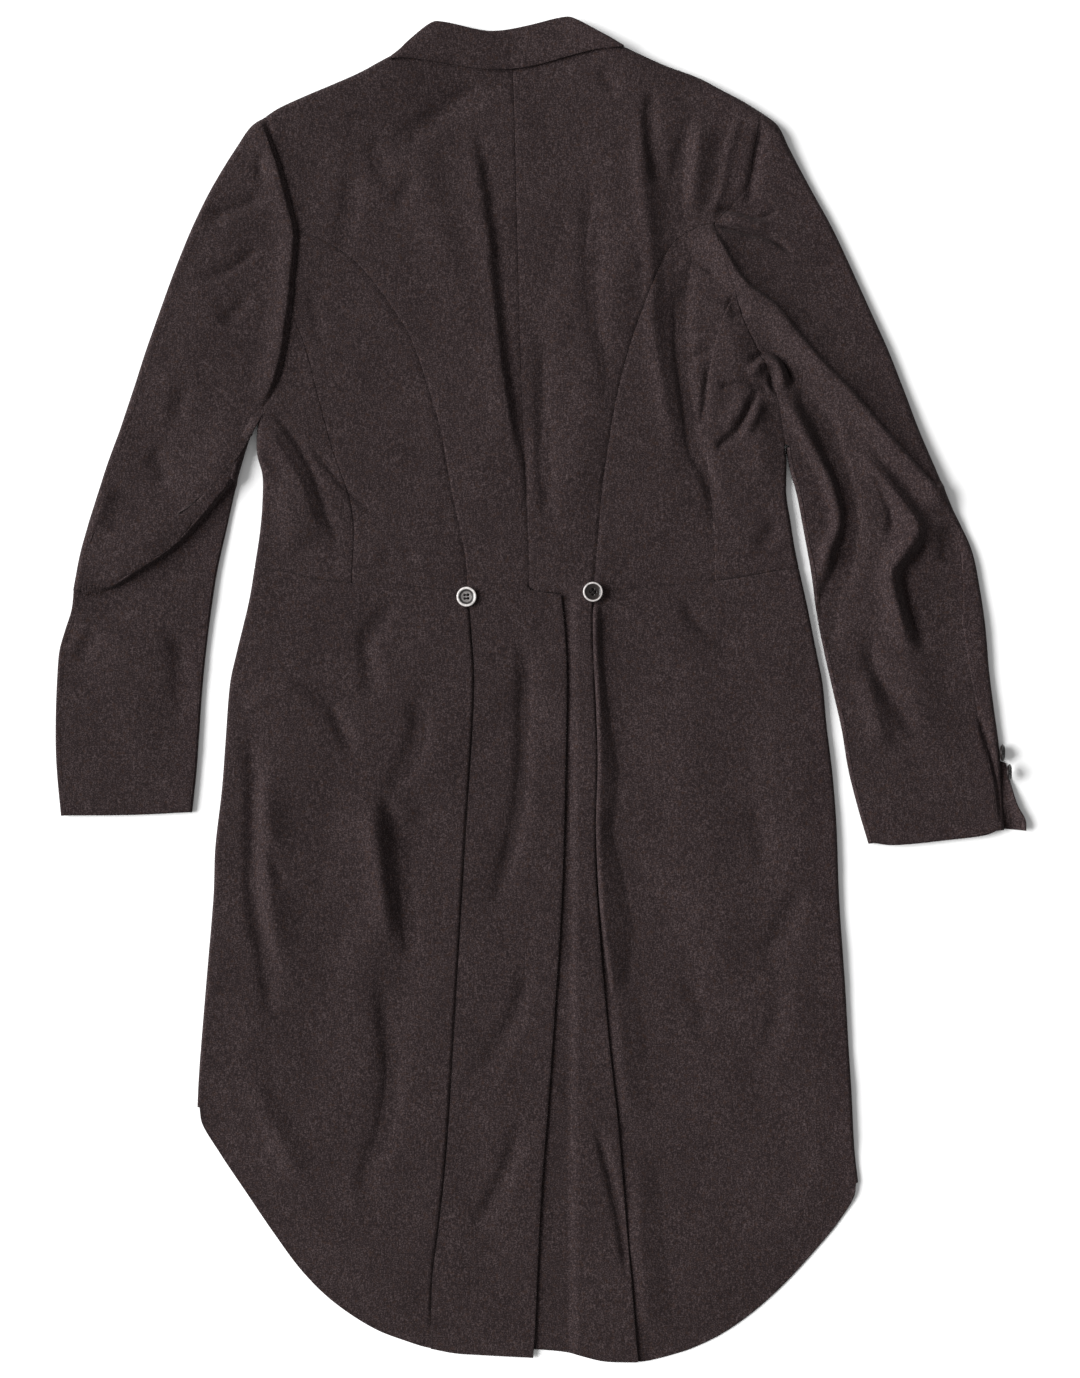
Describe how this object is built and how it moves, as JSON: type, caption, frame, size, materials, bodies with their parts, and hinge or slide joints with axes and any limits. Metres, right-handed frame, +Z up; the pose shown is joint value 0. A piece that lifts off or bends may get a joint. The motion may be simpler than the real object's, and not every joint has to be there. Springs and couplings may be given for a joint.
{
  "type": "morning tailcoat laid flat",
  "caption": "Dark flannel tailcoat laid flat on its front, with pleated tails, rolled collar, long sleeves and hip buttons, for dressing sets and wardrobes.",
  "frame": {"origin": "on the surface that the coat lies on, under the middle of its outline", "axes": "+Y towards the collar, +X towards the wearer's right sleeve, +Z up off the surface, with the coat's back facing +Z"},
  "size_m": [0.8616, 1.197, 0.0171],
  "materials": {
    "coat_flannel": "matt dark brown-charcoal wool flannel with a soft nap",
    "collar_flannel": "the same flannel, pressed a little paler along its roll",
    "coat_buttons": "black horn-like button with a low gloss"
  },
  "bodies": {
    "root": {"back_left": "coat_flannel", "back_right": "coat_flannel", "side_body_left": "coat_flannel", "side_body_right": "coat_flannel", "forepart_left": "coat_flannel", "forepart_right": "coat_flannel", "skirt_left": "coat_flannel", "skirt_right": "coat_flannel", "lapel_left": "coat_flannel", "lapel_right": "coat_flannel", "under_sleeve_left": "coat_flannel", "under_sleeve_right": "coat_flannel", "top_sleeve_left": "coat_flannel", "top_sleeve_right": "coat_flannel", "cuff_underlap_right": "coat_flannel", "collar": "collar_flannel", "hip_button_left": "coat_buttons", "hip_button_right": "coat_buttons", "front_button": "coat_buttons", "cuff_button_left_1": "coat_buttons", "cuff_button_left_2": "coat_buttons", "cuff_button_right_1": "coat_buttons", "cuff_button_right_2": "coat_buttons"}
  },
  "joints": []
}
